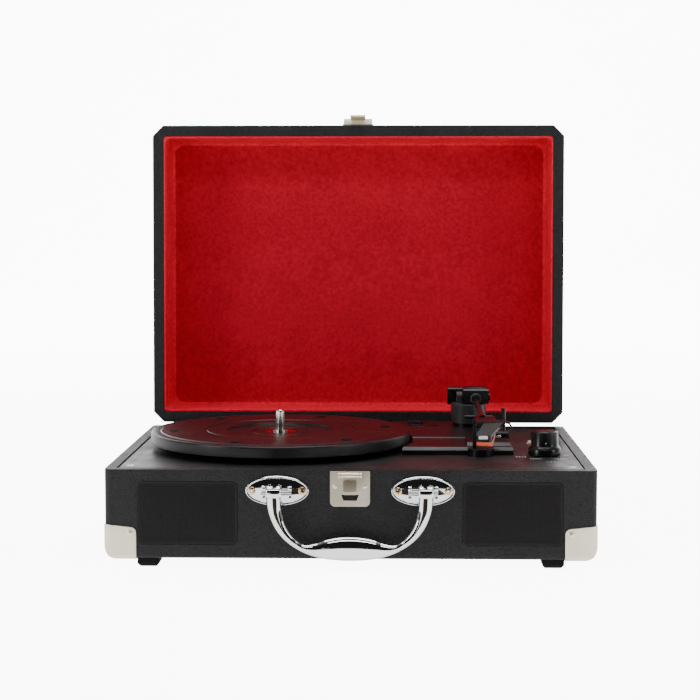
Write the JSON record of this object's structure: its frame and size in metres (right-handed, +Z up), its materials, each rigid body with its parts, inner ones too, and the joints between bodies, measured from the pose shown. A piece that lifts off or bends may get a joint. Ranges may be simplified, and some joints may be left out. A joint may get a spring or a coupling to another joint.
{
  "type": "suitcase record player",
  "caption": "Portable record player in a hinged black suitcase with platter, pivoted tonearm, twin front speakers, chrome handle and red lid liner.",
  "frame": {"origin": "middle of the bounding box at the level of the feet's undersides, with the lid open and the handle hanging", "axes": "+X to the right along the case's width, +Y to the back towards the lid, +Z up"},
  "size_m": [0.3566, 0.3324, 0.3396],
  "materials": {
    "leatherette": "fine wrinkled black leatherette over board",
    "black_plastic": "satin black",
    "gloss_black": "gloss black",
    "champagne_steel": "pale gold plated sheet",
    "screw_steel": "plain",
    "grille_cloth": "dark perforated sheet",
    "chrome": "polished",
    "motor_steel": "plain",
    "brass": "turned",
    "rubber": "matt",
    "cone_paper": "pressed paper pulp",
    "board_green": "lacquered board",
    "lamp_clear": "clear lamp",
    "liner_red": "red flocked liner",
    "stylus_red": "translucent orange red",
    "grey_plastic": "matt grey"
  },
  "bodies": {
    "case": {"base_shell": "leatherette", "bottom_panel": "black_plastic", "bottom_screws": "screw_steel", "feet": "rubber", "base_corners": "champagne_steel", "base_rivets": "champagne_steel", "speaker_grilles": "grille_cloth", "speaker_frames": "motor_steel", "speaker_cones": "cone_paper", "deck_plate": "gloss_black", "machine_screws": "screw_steel", "spindle_seat": "motor_steel", "spindle": "chrome", "spindle_clip": "screw_steel", "drive_belt": "rubber", "motor_can": "motor_steel", "motor_plate": "motor_steel", "motor_grommets": "rubber", "arm_plate": "gloss_black", "arm_base": "black_plastic", "arm_rest": "black_plastic", "amp_board": "board_green", "volume_pot": "motor_steel", "power_lamp": "lamp_clear", "rear_panel": "black_plastic", "phono_jacks": "chrome", "power_jack": "black_plastic", "aux_jack": "black_plastic", "hinge_base_leaves": "champagne_steel", "hinge_pins": "screw_steel", "latch_plate": "champagne_steel", "front_pins": "screw_steel", "handle_plates": "chrome", "handle_screws": "brass"},
    "lid": {"lid_shell": "leatherette", "lid_liner": "liner_red", "lid_corners": "champagne_steel", "lid_catch": "champagne_steel", "hinge_lid_leaves": "champagne_steel"},
    "turntable": {"platter": "gloss_black", "platter_hub": "chrome", "platter_pads": "rubber"},
    "pulley": {"motor_pulley": "black_plastic"},
    "turret": {"arm_turret": "grey_plastic", "lift_pin": "screw_steel"},
    "tonearm": {"arm_block": "gloss_black", "arm_tube": "gloss_black", "headshell": "gloss_black", "cartridge": "black_plastic", "stylus": "stylus_red", "counterweight": "black_plastic"},
    "clip": {"arm_clip": "chrome"},
    "cue": {"cue_lever": "black_plastic"},
    "arm_lifter": {"lift_bar": "black_plastic"},
    "speed_switch": {"speed_slider": "black_plastic"},
    "stop_switch": {"stop_slider": "black_plastic"},
    "knob": {"volume_knob": "gloss_black"},
    "latch": {"latch_lever": "champagne_steel"},
    "handle": {"carry_handle": "chrome"},
    "adapter": {"adapter_45": "black_plastic"}
  },
  "joints": [
    {"name": "lid_hinge", "type": "hinge", "parent": "case", "child": "lid", "pos_m": [0, 0.1063, 0.0722], "axis": [-1, 0, 0], "range_deg": [-92, 0]},
    {"name": "platter_spin", "type": "hinge", "parent": "case", "child": "turntable", "pos_m": [-0.0583, -0.0244, 0.077], "axis": [0, 0, -1], "continuous": true},
    {"name": "motor_spin", "type": "hinge", "parent": "case", "child": "pulley", "pos_m": [0.0017, -0.0844, 0.077], "axis": [0, 0, -1], "continuous": true},
    {"name": "arm_swing", "type": "hinge", "parent": "case", "child": "turret", "pos_m": [0.094, 0.0623, 0.082], "axis": [0, 0, -1], "range_deg": [0, 44]},
    {"name": "arm_lift", "type": "hinge", "parent": "turret", "child": "tonearm", "pos_m": [0.1, 0.0623, 0.102], "axis": [-1, 0, 0], "range_deg": [0, 12]},
    {"name": "arm_clip_swing", "type": "hinge", "parent": "case", "child": "clip", "pos_m": [0.106, -0.0687, 0.0986], "axis": [0, -1, 0], "range_deg": [0, 210]},
    {"name": "cue_swing", "type": "hinge", "parent": "case", "child": "cue", "pos_m": [0.117, -0.0247, 0.0816], "axis": [1, 0, 0], "range_deg": [0, 60]},
    {"name": "cue_rise", "type": "slide", "parent": "case", "child": "arm_lifter", "axis": [0, 0, 1], "range_m": [0, 0.003]},
    {"name": "speed_slide", "type": "slide", "parent": "case", "child": "speed_switch", "axis": [0, 1, 0], "range_m": [0, 0.012]},
    {"name": "stop_slide", "type": "slide", "parent": "case", "child": "stop_switch", "axis": [0, 1, 0], "range_m": [0, 0.006]},
    {"name": "volume_turn", "type": "hinge", "parent": "case", "child": "knob", "pos_m": [0.1468, -0.0657, 0.077], "axis": [0, 0, -1], "range_deg": [0, 300]},
    {"name": "latch_swing", "type": "hinge", "parent": "case", "child": "latch", "pos_m": [0, -0.1561, 0.0688], "axis": [-1, 0, 0], "range_deg": [0, 100]},
    {"name": "handle_swing", "type": "hinge", "parent": "case", "child": "handle", "pos_m": [0, -0.1612, 0.057], "axis": [-1, 0, 0], "range_deg": [0, 160]},
    {"name": "adapter_lift", "type": "slide", "parent": "case", "child": "adapter", "axis": [0, 0, 1], "range_m": [0, 0.01]}
  ],
  "couplings": [
    {"joint": "motor_spin", "follows": "platter_spin", "ratio": 9.2857},
    {"joint": "cue_rise", "follows": "cue_swing", "m_per_rad": 0.00286}
  ]
}
